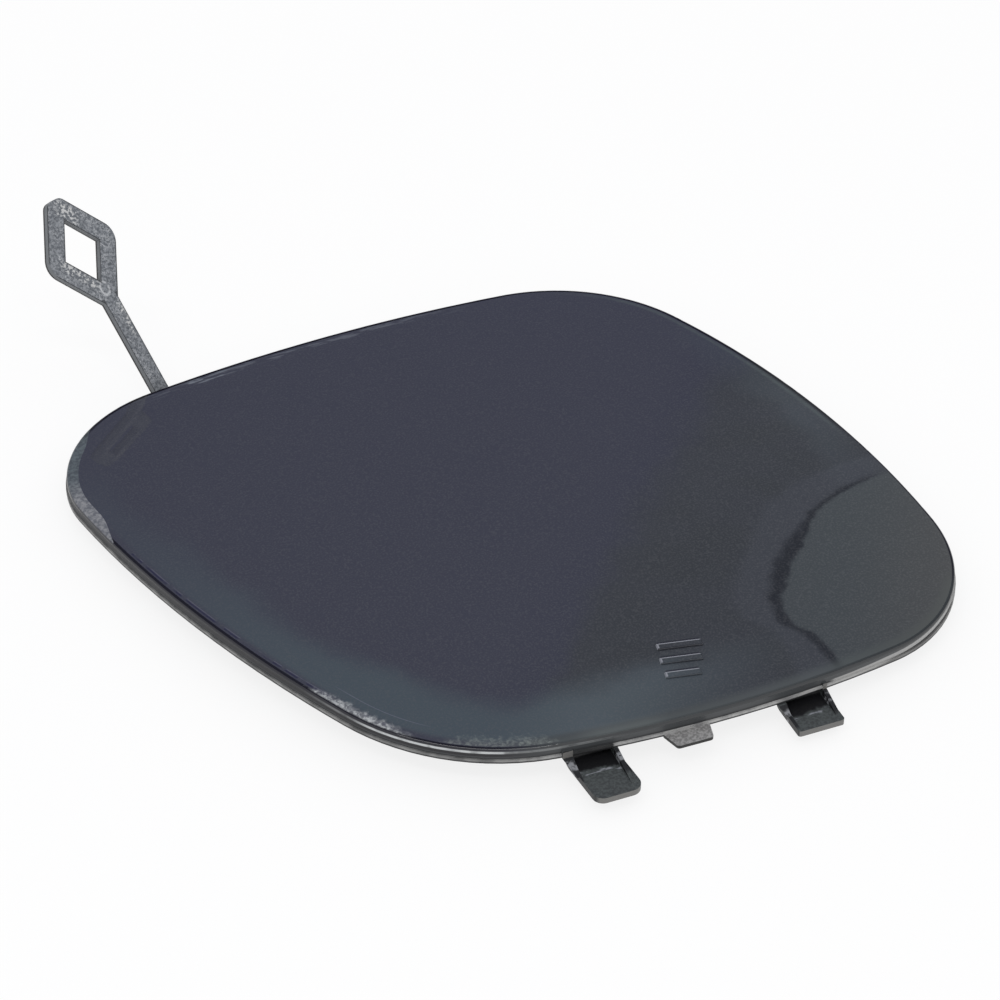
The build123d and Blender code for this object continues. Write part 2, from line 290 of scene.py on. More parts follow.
from_centre = vector_sum(tree, "DISTANCE", position, CROWN_CENTRE).outputs["Value"]
depth = minus(tree, CROWN_RADIUS, from_centre)
apart = add(tree, "ShaderNodeSeparateXYZ", {0: position})
along_x, along_y, along_z = apart.outputs["X"], apart.outputs["Y"], apart.outputs["Z"]
normal_apart = add(tree, "ShaderNodeSeparateXYZ", {0: normal})
facing_x, facing_y, facing_z = (normal_apart.outputs[axis] for axis in "XYZ")

outside = soft_step(tree, edge, -0.02 * MM, -0.12 * MM)
on_skin = rest_of(tree, outside)
past_root = sum_of(tree, "GREATER_THAN", along_y, TETHER_BACK)
left_part = sum_of(tree, "LESS_THAN", along_x, TETHER_LEFT)
on_tether = product(tree, outside, past_root, left_part)
at_front = sum_of(tree, "LESS_THAN", along_y, FRONT_LIMIT)
near_tongue = sum_of(
    tree, "LESS_THAN", off_from(tree, along_x, TONGUE_MIDDLE), TONGUE_HALF_WIDTH)
on_tongue = product(tree, outside, at_front, near_tongue)
on_hook = product(tree, outside, at_front, rest_of(tree, near_tongue))
near_crown = soft_step(tree, depth, SHOW_DEPTH + SHARP / 2, SHOW_DEPTH - SHARP / 2)
on_show_face = product(tree, near_crown, on_skin)
on_wall = product(
    tree, between(tree, depth, SHOW_DEPTH, LIP_TOP, SHARP),
    soft_step(tree, edge, 0.7 * MM, 0.5 * MM), on_skin)
on_lip = product(
    tree, between(tree, depth, LIP_TOP, SKIN_DEPTH, SHARP),
    soft_step(tree, edge, 0.5 * MM, 0.35 * MM), on_skin)
print("masks made, nodes so far", len(tree.nodes))

# %% [markdown]
# ## The show face
#
# The face is smooth black plastic, ready for paint: dark slate, with a clear gloss on top. It is
# not quite even, for it is more violet to the left and more neutral to the right, past a blurred
# diagonal line. The right-hand slates are darker copies of the left-hand ones: painted shade. One
# flat colour would look like a hole in the picture, so two ramps of different width blend four
# slates, and slow blotches sway the narrower ramp.

# %% Show face colour
ACROSS = Vector((0.9291, -0.3697, 0.0))
DIAGONAL = Vector((0.735, -0.678, 0.0))
DIAGONAL_MIDDLE = 28.2 * MM
NARROW_HALF, WIDE_HALF = 4 * MM, 11 * MM
VIOLET_LEFT = (0.0458, 0.0483, 0.0646, 1)
VIOLET_SHADED_RIGHT = (0.0255, 0.0275, 0.0440, 1)
NEUTRAL_LEFT = (0.0448, 0.0483, 0.0561, 1)
NEUTRAL_SHADED_RIGHT = (0.0245, 0.0270, 0.0335, 1)
BLOTCH_CELL = 14 * MM
BLOTCH_SWAY = 16 * MM

slow_blotches = noise(tree, position, BLOTCH_CELL, Detail=3.0)
blotch_shift = product(tree, minus(tree, slow_blotches, 0.5), BLOTCH_SWAY)
along_diagonal = dot(tree, position, DIAGONAL)
diagonal = minus(tree, along_diagonal, DIAGONAL_MIDDLE)
narrow = soft_step(tree, plus(tree, diagonal, blotch_shift), -NARROW_HALF, NARROW_HALF)
wide = soft_step(tree, diagonal, -WIDE_HALF, WIDE_HALF)
left_colour = mix_colour(tree, narrow, VIOLET_LEFT, NEUTRAL_LEFT)
# Painted shade: the right-hand slates are darker copies of the left-hand ones.
right_colour = mix_colour(tree, narrow, VIOLET_SHADED_RIGHT, NEUTRAL_SHADED_RIGHT)
face_colour = mix_colour(tree, wide, left_colour, right_colour)
across = dot(tree, position, ACROSS)
print("show face blended from 4 slates")

# %% [markdown]
# ## Painted green sheen, grain and orange peel
#
# Inside the left and front edges a green sheen is painted on the slate, in a band that grows
# towards the hooks and never quite reaches the edge. A fine light grain keeps the face from
# looking drawn, and the cooling plastic leaves a faint orange peel, which the bump uses later.

# %% Painted green sheen and grain
GREEN_SHEEN_SLATE = (0.058, 0.074, 0.087, 1)
GREEN_WIDTH, GREEN_GROWTH, GREEN_FADE = 10 * MM, 4 * MM, 7 * MM
GREEN_AT_BACK = 0.22
GRAIN_SLATE = (0.095, 0.098, 0.105, 1)
GRAIN_CELL, GRAIN_SHARE = 0.32 * MM, 0.30
PEEL_CELL = 2.4 * MM

towards_front = soft_step(tree, along_y, 24 * MM, -44 * MM)
green_width = plus(tree, product(tree, blotch_shift, 0.6), GREEN_WIDTH)
green_width = plus(tree, green_width, product(tree, towards_front, GREEN_GROWTH))
# Painted sheen: a greenish band inside the left and front edges.
green_sheen_share = product(
    tree,
    soft_step(tree, minus(tree, edge, green_width), 0.0, -GREEN_FADE),
    soft_step(tree, edge, 1.2 * MM, 2.6 * MM),
    soft_step(tree, along_diagonal, 62 * MM, 34 * MM),
    soft_step(tree, along_y, 34 * MM, 20 * MM),
    mix_number(tree, towards_front, GREEN_AT_BACK, 1.0),
)
fine_grain = soft_step(tree, noise(tree, position, GRAIN_CELL, Detail=2.0), 0.42, 0.74)
face_colour = coats(
    tree, face_colour,
    (green_sheen_share, GREEN_SHEEN_SLATE), (product(tree, fine_grain, GRAIN_SHARE), GRAIN_SLATE),
)
peel = noise(tree, position, PEEL_CELL, Detail=1.0)
print("green band up to", round((GREEN_WIDTH + GREEN_GROWTH) / MM), "mm wide")

# %% [markdown]
# ## The rounded show edge
#
# Where the face rounds over into the wall, its gloss mirrors the dark surroundings, and most of
# the cover is outlined in black. Above the hooks the face stays evenly lit right down to the lip.
# The edge is therefore painted nearly black, but not there: a slate that grows lighter towards the
# edge makes up for the light that the gloss loses as it bends down.

# %% Rounded edge colours
FRONT_SLATE = (0.057, 0.064, 0.067, 1)
FRONT_SLATE_RIGHT = (0.038, 0.043, 0.046, 1)
FRONT_SLATE_AT_HOOK = (0.080, 0.090, 0.091, 1)
FILLET_BLACK = (0.010, 0.010, 0.016, 1)
FILLET_SLATE = (0.032, 0.035, 0.037, 1)

at_hooks = product(
    tree, soft_step(tree, along_y, -45 * MM, -51 * MM),
    soft_step(tree, along_x, -24 * MM, -12 * MM))
above_left_hook = between(tree, along_x, -9 * MM, 3 * MM, 6 * MM)
front_right = soft_step(tree, along_x, 22 * MM, 46 * MM)
front_slate = coats(
    tree, FRONT_SLATE,
    (front_right, FRONT_SLATE_RIGHT), (above_left_hook, FRONT_SLATE_AT_HOOK))
front_share = product(tree, at_hooks, soft_step(tree, edge, 3.2 * MM, 1.0 * MM))
fillet_share = product(
    tree, soft_step(tree, edge, 0.95 * MM, 0.78 * MM), rest_of(tree, at_hooks))
turned_down = product(tree, soft_step(tree, edge, 0.62 * MM, 0.45 * MM), at_hooks)
face_colour = coats(
    tree, face_colour,
    (front_share, front_slate), (fillet_share, FILLET_BLACK), (turned_down, FILLET_SLATE))
print("rounded edge painted")

# %% [markdown]
# ## The painted reflection round the left corner
#
# A light band round the left corner is painted as a reflection, bluish at the top and paler and
# more mottled lower down, and its roughness is dull as well. The band's width swells within a
# sector of the corner's arc, and the band lies where the edge is nearer than that width.

# %% Band round the left corner
BAND_WIDTH, BAND_LEAST = 2.35 * MM, 0.5 * MM
BAND_DARK_TOP = (0.060, 0.072, 0.086, 1)
BAND_DARK_LOW = (0.110, 0.118, 0.138, 1)
BAND_LIGHT_TOP = (0.110, 0.135, 0.150, 1)
BAND_LIGHT_LOW = (0.250, 0.255, 0.270, 1)
MOTTLE_CELL = 0.62 * MM

mottle_noise = noise(tree, position, MOTTLE_CELL, Detail=4.0, Distortion=0.6)
mottle = soft_step(tree, mottle_noise, 0.36, 0.68)
corner_heading = headings["left back"]
corner_width = product(tree, sector(corner_heading, 174.0, 50.0, 24.0), BAND_WIDTH)
# Painted reflection: a light band along the left corner's edge.
corner_reflection_band = product(
    tree,
    soft_step(tree, minus(tree, edge, corner_width), SHARP, -SHARP),
    sum_of(tree, "GREATER_THAN", corner_width, BAND_LEAST),
    soft_step(tree, edge, 0.30 * MM, 0.50 * MM),
)
lower_part = soft_step(tree, towards(corner_heading, 215.0), 0.66, 0.90)
band_dark = mix_colour(tree, lower_part, BAND_DARK_TOP, BAND_DARK_LOW)
band_light = mix_colour(tree, lower_part, BAND_LIGHT_TOP, BAND_LIGHT_LOW)
band_reflection_colour = mix_colour(tree, mottle, band_dark, band_light)
print("corner band", BAND_WIDTH / MM, "mm wide")

# %% [markdown]
# ## Painted highlights by the front corner
#
# By the front left corner a bright highlight is painted, and next to it a fainter painted haze of
# light. Both are patches like the corner band, but a cloudy noise frays their inner limit. A thin
# pale highlight line is painted along the rounded edge below them, and it fades to both sides.

# %% Painted highlight, haze and edge line
front_heading = headings["left front"]
cloud = noise(tree, position, 1.1 * MM, Detail=4.0)


def frayed_patch(angles, width, spread, fade, mottled, start):
    """A painted highlight patch along the front left corner: where it lies, how wide and how
    frayed.
    """
    reach = product(tree, sector(front_heading, *angles), width, plus(tree, cloud, spread))
    return product(
        tree,
        soft_step(tree, minus(tree, edge, reach), 0.3 * MM, -fade),
        mix_number(tree, mottle, *mottled),
        soft_step(tree, edge, start, start + 0.3 * MM),
    )


# Painted highlights: a bright patch and a fainter haze by the front left corner.
front_highlight = frayed_patch(
    (-147.0, 20.0, 17.0), 3.4 * MM, 0.15, 1.3 * MM, (0.25, 1.0), 0.55 * MM)
front_highlight_haze = frayed_patch(
    (-111.0, 18.0, 12.0), 5.0 * MM, 0.10, 1.6 * MM, (0.12, 0.62), 0.80 * MM)
line_noise = soft_step(tree, noise(tree, position, 3.0 * MM, Detail=2.0), 0.34, 0.5)
bright_sector = sector(front_heading, -127.0, 23.0, 10.0)
faint_sector = product(tree, sector(front_heading, -122.0, 42.0, 14.0), 0.25)
# Painted highlight: a thin pale line on the rounded edge.
edge_highlight_line = product(
    tree,
    between(tree, depth, 0.40 * MM, 0.84 * MM, 0.16 * MM),
    soft_step(tree, edge, 0.7 * MM, 0.5 * MM), on_skin,
    largest(tree, bright_sector, faint_sector),
    mix_number(tree, line_noise, 0.5, 1.0),
)
print("front corner scuffed")

# %% [markdown]
# ## Streaks, dashes and the far outline
#
# Short streaks lie beside the tether, where its strap rubs, and fainter ones along the far side: a
# noise stretched along the edge. On the left, a broken violet line and a lighter one beside it run
# along the edge, and one thin scratch runs further in by the front left corner. The far edge ends
# in a thin black outline, a painted reflection of the dark surroundings, with a faint painted
# sheen inside it to the right.

# %% Lines along the edge
stretched = vector_sum(tree, "MULTIPLY", position, (0.16, 1.0, 1.0)).outputs["Vector"]
streak_noise = noise(tree, stretched, 0.55 * MM, Detail=2.0)
beside_tether = between(tree, along_x, -41 * MM, -31 * MM, 7 * MM)
along_far_side = product(tree, between(tree, along_x, -46 * MM, 8 * MM, 20 * MM), 0.42)
far_streaks = product(
    tree,
    largest(tree, beside_tether, along_far_side),
    between(tree, edge, 1.2 * MM, 3.0 * MM, 0.8 * MM),
    sum_of(tree, "GREATER_THAN", along_y, 30 * MM),
    soft_step(tree, streak_noise, 0.46, 0.64),
)

left_dashes = product(
    tree,
    sum_of(tree, "LESS_THAN", along_x, -36 * MM),
    sum_of(tree, "LESS_THAN", along_y, 6 * MM),
    soft_step(tree, noise(tree, position, 2.2 * MM), 0.40, 0.56),
)
violet_dashes = product(tree, between(tree, edge, 1.12 * MM, 1.40 * MM, 0.15 * MM), left_dashes)
light_dashes = product(tree, between(tree, edge, 1.50 * MM, 1.62 * MM, 0.12 * MM), left_dashes)
thin_scratches = product(
    tree, between(tree, edge, 3.5 * MM, 3.62 * MM, 0.12 * MM),
    sector(front_heading, -143.0, 16.0, 8.0), 0.30)
light_lines = largest(tree, product(tree, light_dashes, 0.30), thin_scratches)

far_half = soft_step(tree, dot(tree, position, (0.37, 0.93, 0)), 10 * MM, 22 * MM)
# Painted reflection: the far edge mirrors the dark surroundings as a thin black line.
far_outline = product(tree, far_half, soft_step(tree, edge, 1.32 * MM, 1.12 * MM))
# Painted sheen: a faint lighter band inside the far outline, to the right.
far_sheen = product(
    tree, far_half, between(tree, edge, 1.5 * MM, 2.2 * MM, 0.7 * MM),
    soft_step(tree, across, 8 * MM, 26 * MM), mix_number(tree, cloud, 0.1, 0.9))
print("lines along the edge made")

# %% [markdown]
# ## Laying wear and painted light on the face
#
# The order matters: faint lines first, then the band and the outline, and the brightest painted
# highlight last, so that it is not covered. The broad patches and the line on the rounded edge are
# made dull as well, so their masks are kept for the roughness.

# %% Coats of wear and painted light
DASH_VIOLET = (0.018, 0.018, 0.045, 1)
SCRATCH_GREY = (0.20, 0.20, 0.27, 1)
STREAK_GREY = (0.20, 0.22, 0.25, 1)
SHEEN_SLATE = (0.080, 0.100, 0.100, 1)
OUTLINE_BLACK = (0.003, 0.003, 0.004, 1)
HIGHLIGHT_HAZE_GREY = (0.20, 0.225, 0.215, 1)
HIGHLIGHT_GREY = (0.42, 0.44, 0.45, 1)

face_colour = coats(
    tree, face_colour,
    (product(tree, violet_dashes, 0.8), DASH_VIOLET),
    (light_lines, SCRATCH_GREY),
    (product(tree, far_streaks, 0.75), STREAK_GREY),
    (far_sheen, SHEEN_SLATE),
    (corner_reflection_band, band_reflection_colour),
    (product(tree, far_outline, 0.9), OUTLINE_BLACK),
    (front_highlight_haze, HIGHLIGHT_HAZE_GREY),
    (front_highlight, HIGHLIGHT_GREY),
)
face_dull = largest(tree, corner_reflection_band, front_highlight, edge_highlight_line, front_highlight_haze)
print("wear laid on the face")

# %% [markdown]
# ## The raised press mark
#
# Three small bars show where to push. They are too low to cast a shadow, so what the eye finds is
# their edges: a light line is painted as a highlight on the back edge of each bar, a dark line of
# painted shade lies behind it and a fainter one along its front, and painted highlights mark the
# left ends. The bars repeat at a pitch, so a loop paints all three.

# %% Press mark lines
MARK_CENTRE = Vector((11.574, -52.933, 0)) * MM
MARK_TURN = math.radians(-9.3)
BAR_LENGTHS = (7.4, 6.9, 5.8)
BAR_HALF_WIDTH = 0.65 * MM
BAR_PITCH = 3.1 * MM
BAR_SHIFT = 0.5 * MM
BAR_SHADE = (0.010, 0.010, 0.018, 1)
BAR_HIGHLIGHT = (0.33, 0.34, 0.38, 1)

to_mark = vector_sum(tree, "SUBTRACT", position, MARK_CENTRE).outputs["Vector"]
mark_u = dot(tree, to_mark, (math.cos(MARK_TURN), math.sin(MARK_TURN), 0))
mark_v = dot(tree, to_mark, (-math.sin(MARK_TURN), math.cos(MARK_TURN), 0))
lights = []
bar_shades = []
for number, length in enumerate(BAR_LENGTHS):
    row = 1 - number
    half = length / 2 * MM
    within = soft_step(tree, off_from(tree, mark_u, row * BAR_SHIFT), half, half - 0.5 * MM)
    behind = minus(tree, mark_v, row * BAR_PITCH + BAR_HALF_WIDTH)
    left_end = off_from(tree, mark_u, row * BAR_SHIFT - half + 0.12 * MM)
    # Painted highlights at each bar's left end and back edge; painted shade behind each bar and
    # along its front.
    end_light = product(
        tree, soft_step(tree, left_end, 0.26 * MM, 0.12 * MM),
        between(tree, behind, -1.1 * MM, 0.0, 0.2 * MM), 0.8)
    back_light = product(tree, between(tree, behind, -0.28 * MM, 0.0, 0.12 * MM), within)
    shade_behind = product(tree, between(tree, behind, 0.04 * MM, 0.50 * MM, 0.16 * MM), within)
    front = product(tree, between(tree, behind, -1.36 * MM, -1.2 * MM, 0.1 * MM), within, 0.3)
    lights += [back_light, end_light]
    bar_shades += [shade_behind, front]
face_colour = coats(
    tree, face_colour,
    (product(tree, largest(tree, *bar_shades), 0.85), BAR_SHADE),
    (product(tree, largest(tree, *lights), 0.8), BAR_HIGHLIGHT),
)
print("press mark of", len(BAR_LENGTHS), "bars")

# %% [markdown]
# ## The wall
#
# Under the rounded edge the wall is painted nearly black as shade, and turns grey lower down.
# Above the hooks it is painted like the face, with painted shade making it a little darker at its
# foot. Depth under the crown is all that is needed to paint it, because the wall is a step of the
# same height all round.

# %% Wall colours
WALL_GREY = (0.040, 0.042, 0.045, 1)
WALL_SHADE_BLACK = (0.003, 0.003, 0.006, 1)
HOOK_WALL_SLATE = (0.047, 0.051, 0.054, 1)
HOOK_WALL_FOOT_SHADE = (0.027, 0.029, 0.031, 1)

# Painted shade: nearly black under the rounded edge, darker at the foot above the hooks.
upper_wall = soft_step(tree, depth, 1.55 * MM, 1.30 * MM)
lower_wall = soft_step(tree, depth, 1.35 * MM, 1.60 * MM)
wall_colour = mix_colour(tree, upper_wall, WALL_GREY, WALL_SHADE_BLACK)
hook_side_wall = mix_colour(tree, lower_wall, HOOK_WALL_SLATE, HOOK_WALL_FOOT_SHADE)
wall_colour = mix_colour(tree, at_hooks, wall_colour, hook_side_wall)
print("wall", round((LIP_TOP - SHOW_DEPTH) / MM, 2), "mm high")

# %% [markdown]
# ## The lip
#
# The upper half of the lip at the wall's foot carries a painted highlight, a pale line that is
# palest on the hook side, and its lower half is painted dark as shade. The line is nearly black
# above the left hook's pocket and darker past the right hook, where a painted highlight line
# leaves the lip and climbs the wall towards the right corner.

# %% Lip colours
LIP_SHADE, LIP_SOFT = 2.32 * MM, 0.05 * MM
LIP_SHADE_BLACK = (0.012, 0.012, 0.013, 1)
LIP_DIM_DARK, LIP_DIM_LIGHT = (0.10, 0.10, 0.10, 1), (0.22, 0.22, 0.215, 1)
LIP_PALE_DARK, LIP_PALE_LIGHT = (0.22, 0.22, 0.22, 1), (0.42, 0.42, 0.41, 1)
LIP_PAST_HOOK = (0.07, 0.068, 0.065, 1)
LIP_OVER_POCKET_DARK = (0.010, 0.011, 0.012, 1)
SLIDE_FROM, SLIDE_TO, SLIDE_CORNER = 1.85 * MM, 1.02 * MM, 0.6 * MM

lip_mottle = soft_step(tree, noise(tree, position, 2.6 * MM, Detail=3.0), 0.3, 0.7)
lip_dim = mix_colour(tree, lip_mottle, LIP_DIM_DARK, LIP_DIM_LIGHT)
lip_pale = mix_colour(tree, lip_mottle, LIP_PALE_DARK, LIP_PALE_LIGHT)
past_right_hook = soft_step(tree, along_x, 36 * MM, 44 * MM)
in_left_pocket = between(tree, along_x, -11.4 * MM, -4.8 * MM, 0.4 * MM)
# Painted highlight on the lip's upper half, palest on the hook side.
lip_highlight_colour = coats(
    tree, lip_dim,
    (at_hooks, lip_pale),
    (product(tree, past_right_hook, 0.7), LIP_PAST_HOOK),
    (product(tree, at_front, in_left_pocket, 0.9), LIP_OVER_POCKET_DARK),
)
# Painted shade on the lip's lower half.
lip_upper = soft_step(tree, depth, LIP_SHADE + LIP_SOFT, LIP_SHADE - LIP_SOFT)
lip_colour = mix_colour(tree, lip_upper, LIP_SHADE_BLACK, lip_highlight_colour)

sliding = soft_step(tree, along_x, 34 * MM, 57 * MM)
round_corner = soft_step(tree, along_y, -57 * MM, -50 * MM)
slide_depth = mix_number(tree, sliding, SLIDE_FROM, SLIDE_TO)
slide_depth = plus(tree, slide_depth, product(tree, round_corner, SLIDE_CORNER))
# Painted highlight line that leaves the lip and climbs the wall towards the right corner.
right_highlight_line = product(
    tree,
    soft_step(tree, off_from(tree, depth, slide_depth), 0.52 * MM, 0.30 * MM),
    soft_step(tree, edge, 0.62 * MM, 0.50 * MM),
    soft_step(tree, along_x, 32.5 * MM, 34 * MM),
    soft_step(tree, along_y, -36 * MM, -46 * MM),
)
print("lip", round((SKIN_DEPTH - LIP_TOP) / MM, 2), "mm high")

# %% [markdown]
# ## The raw plastic of the hooks and the back
#
# Hooks, ribs and the back keep the tool's milled texture, which is satin. The pockets between each
# hook's two gussets see almost no light, so they are painted black as shade. Flanks are painted
# darker than flats as shade, and the hook tips that face the front are painted pale as lit.

# %% Raw plastic and hook masks
HOOK_MIDDLES = (-8.1 * MM, 28.0 * MM)
POCKET_HALF_WIDTH = 3.25 * MM
GUSSET_REACH = 4.9 * MM
RAW_DARK, RAW_LIGHT = (0.040, 0.045, 0.046, 1), (0.066, 0.076, 0.076, 1)

milled = noise(tree, position, 0.42 * MM, Detail=4.0)
raw_colour = mix_colour(tree, soft_step(tree, milled, 0.35, 0.65), RAW_DARK, RAW_LIGHT)
pocket_strips = []
gusset_strips = []
for middle in HOOK_MIDDLES:
    off_middle = off_from(tree, along_x, middle)
    pocket_strips.append(
        soft_step(tree, off_middle, POCKET_HALF_WIDTH, POCKET_HALF_WIDTH - 0.1 * MM))
    gusset_strips.append(between(tree, off_middle, POCKET_HALF_WIDTH, GUSSET_REACH, 0.2 * MM))
pockets = largest(tree, *pocket_strips)
gussets = largest(tree, *gusset_strips)

blob_noise = noise(tree, position, 1.1 * MM, Detail=2.0)
wavy_edge = plus(tree, edge, product(tree, minus(tree, blob_noise, 0.5), 1.5 * MM))
# Painted shade in the pockets between each hook's gussets.
pocket_shade = product(
    tree, pockets, at_front,
    soft_step(tree, depth, 2.58 * MM, SKIN_DEPTH),
    soft_step(tree, wavy_edge, -3.0 * MM, -2.0 * MM),
    soft_step(tree, edge, 4 * MM, 3 * MM),
)
pocket_lip_highlight = product(
    tree, pockets, on_hook, between(tree, wavy_edge, -3.3 * MM, -2.8 * MM, 0.3 * MM),
    soft_step(tree, noise(tree, stretched, 0.5 * MM), 0.47, 0.6))
gusset_shade = product(tree, gussets, on_hook, soft_step(tree, edge, -5.2 * MM, -4.2 * MM))
gusset_foot_highlight = product(
    tree, gussets, on_hook, between(tree, wavy_edge, -2.3 * MM, -0.9 * MM, 0.6 * MM),
    soft_step(tree, blob_noise, 0.40, 0.52))
# Flanks get painted shade and front-facing tips get painted light.
flank = soft_step(tree, sum_of(tree, "ABSOLUTE", facing_x), 0.6, 0.9)
lit_tip_face = product(tree, soft_step(tree, facing_y, -0.5, -0.85), on_hook)
print("masks for", len(HOOK_MIDDLES), "hooks")

# %% [markdown]
# ## Coats on the hooks
#
# Painted shade goes on before painted light here: gussets and flanks are darkened first, then
# painted highlights go where their feet and the pocket's lip catch the light. The pocket's painted
# shade comes near the end, so that it stays black.

# %% Coats of the raw plastic
GUSSET_SHADE_BLACK = (0.008, 0.008, 0.010, 1)
SHADE_BLACK = (0.004, 0.004, 0.005, 1)
FOOT_HIGHLIGHT_GREY = (0.30, 0.31, 0.33, 1)
POCKET_LIP_HIGHLIGHT = (0.24, 0.25, 0.28, 1)
TIP_LIT_GREY = (0.17, 0.165, 0.155, 1)

# Painted shade first, then painted highlights, then the pockets' painted shade.
raw_colour = coats(
    tree, raw_colour,
    (product(tree, gusset_shade, 0.85), GUSSET_SHADE_BLACK),
    (product(tree, flank, on_hook, 0.95), SHADE_BLACK),
    (product(tree, gusset_foot_highlight, 0.7), FOOT_HIGHLIGHT_GREY),
    (product(tree, pocket_lip_highlight, 0.8), POCKET_LIP_HIGHLIGHT),
    (pocket_shade, SHADE_BLACK),
    (product(tree, lit_tip_face, 0.8), TIP_LIT_GREY),
)
print("raw plastic coloured")

# %% [markdown]
# ## The tether
#
# The tether is black plastic with a painted pale grey sheen, and bright scratches that wander over
# it like veins carry painted glints. Those veins are where a distorted noise crosses its middle
# value: a thin line each time. The eye lies in a sloping plane, so its own two directions are used
# to place the painted highlights and the ring that the ejector pin has left.

# %% Tether masks
STRAP_FACE = Vector((0.375, -0.702, 0.606))
STRAP_MIDDLE = -50.26 * MM
STRAP_SIDE = Vector((0.88, 0.47, 0.0))
STRAP_CENTRE = -13.66 * MM
STRAP_HALF_WIDTH = 1.5 * MM
EYE_CENTRE = Vector((-51.36, 66.34, 25.69)) * MM
EYE_RIGHT = Vector((0.90, 0.12, -0.42))
EYE_TOP = Vector((0.55, 0.69, 0.46))
EYE_START = -9.2 * MM
EYE_HALF = 6.85 * MM
HOLE_HALF = 3.47 * MM
PIN_PLACE = 4.25 * MM
PIN_RADIUS = 0.95 * MM

to_eye = vector_sum(tree, "SUBTRACT", position, EYE_CENTRE).outputs["Vector"]
eye_u = dot(tree, to_eye, EYE_RIGHT)
eye_v = dot(tree, to_eye, EYE_TOP)
on_eye = sum_of(tree, "GREATER_THAN", dot(tree, to_eye, (-0.32, 0.52, 0.79)), EYE_START)
strap_offset = minus(tree, dot(tree, position, STRAP_SIDE), STRAP_CENTRE)
wander = noise(tree, position, 1.0 * MM, Detail=3.0, Distortion=1.6)
veins = soft_step(tree, off_from(tree, wander, 0.5), 0.034, 0.004)
dark_strokes = soft_step(tree, off_from(tree, wander, 0.42), 0.026, 0.004)
patch_share = soft_step(tree, noise(tree, position, 3.4 * MM, Detail=2.0), 0.40, 0.62)
speckle = soft_step(tree, noise(tree, position, 0.5 * MM, Detail=2.0), 0.38, 0.66)

lower_bar = product(
    tree, between(tree, eye_v, -5.2 * MM, -3.6 * MM, 1.0 * MM),
    between(tree, eye_u, -4.5 * MM, 3.0 * MM, 2 * MM))
upper_bar = product(
    tree, between(tree, eye_v, 3.6 * MM, 6.2 * MM, 0.8 * MM),
    between(tree, eye_u, -5.0 * MM, -1.0 * MM, 2 * MM))
# Painted highlights on the strap top and on the eye's lower and upper bars.
strap_top = product(
    tree, soft_step(tree, strap_offset, 0.0, 0.8 * MM),
    between(tree, along_z, 12.5 * MM, 17 * MM, 2 * MM))
tether_highlights = largest(tree, strap_top, lower_bar, upper_bar)

from_pin_u = minus(tree, eye_u, PIN_PLACE)
from_pin_v = plus(tree, eye_v, PIN_PLACE)
pin_offset = add(tree, "ShaderNodeCombineXYZ", {"X": from_pin_u, "Y": from_pin_v, "Z": 0.0})
from_pin = vector_sum(tree, "LENGTH", pin_offset.outputs[0]).outputs["Value"]
ring = product(
    tree, soft_step(tree, off_from(tree, from_pin, PIN_RADIUS), 0.30 * MM, 0.12 * MM),
    soft_step(tree, wander, 0.36, 0.5))
print("tether masks made")

# %% [markdown]
# ## Colours of the tether
#
# Painted grey sheen with dark strokes first, then the veins and the ring, then painted highlights.
# Only the broad faces are pale. Their borders get a thin dark outline of painted shade, and the
# narrow sides are painted black as shade, apart from the upper part of their height, which catches
# some light.

# %% Coats of the tether
SHEEN_DARK, SHEEN_LIGHT = (0.110, 0.122, 0.138, 1), (0.250, 0.265, 0.285, 1)
STROKE_DARK = (0.045, 0.052, 0.062, 1)
VEIN_PALE = (0.50, 0.515, 0.53, 1)
HIGHLIGHT_PALE = (0.66, 0.66, 0.64, 1)
BORDER_SHADE = (0.015, 0.017, 0.020, 1)
SIDE_GREY = (0.130, 0.140, 0.150, 1)

# Painted sheen: the tether's black is painted pale grey.
tether_sheen = mix_colour(tree, speckle, SHEEN_DARK, SHEEN_LIGHT)
vein_share = product(tree, veins, mix_number(tree, patch_share, 0.30, 0.85))
vein_share = largest(tree, vein_share, product(tree, ring, 0.9))
highlight_share = product(tree, tether_highlights, soft_step(tree, speckle, 0.35, 0.9), 0.75)

eye_reach = largest(
    tree, sum_of(tree, "ABSOLUTE", eye_u), sum_of(tree, "ABSOLUTE", eye_v))
eye_border = soft_step(tree, off_from(tree, eye_reach, EYE_HALF), 0.26 * MM, 0.12 * MM)
hole_border = soft_step(tree, minus(tree, eye_reach, HOLE_HALF), 0.24 * MM, 0.10 * MM)
strap_edge = minus(tree, STRAP_HALF_WIDTH, sum_of(tree, "ABSOLUTE", strap_offset))
strap_border = soft_step(tree, strap_edge, 0.24 * MM, 0.10 * MM)
border = largest(
    tree,
    product(tree, largest(tree, eye_border, hole_border), on_eye),
    product(tree, strap_border, rest_of(tree, on_eye)),
)
broad_colour = coats(
    tree, tether_sheen,
    (product(tree, dark_strokes, 0.6), STROKE_DARK),
    (vein_share, VEIN_PALE),
    (highlight_share, HIGHLIGHT_PALE),
    (product(tree, border, 0.8), BORDER_SHADE),
)
strap_depth = minus(tree, dot(tree, position, STRAP_FACE), STRAP_MIDDLE)
upper_side = soft_step(tree, strap_depth, -0.30 * MM, -0.15 * MM)
# Painted shade on the narrow sides, with painted light on their upper part.
narrow_colour = mix_colour(tree, upper_side, SHADE_BLACK, SIDE_GREY)
broad = soft_step(tree, sum_of(tree, "ABSOLUTE", dot(tree, normal, STRAP_FACE)), 0.45, 0.85)
tether_colour = mix_colour(tree, broad, narrow_colour, broad_colour)
print("tether coloured")

# %% [markdown]
# ## The tongue
#
# The tongue's level top is painted pale as lit, a warm grey with grain and no veins. Its sides are
# painted black as shade.

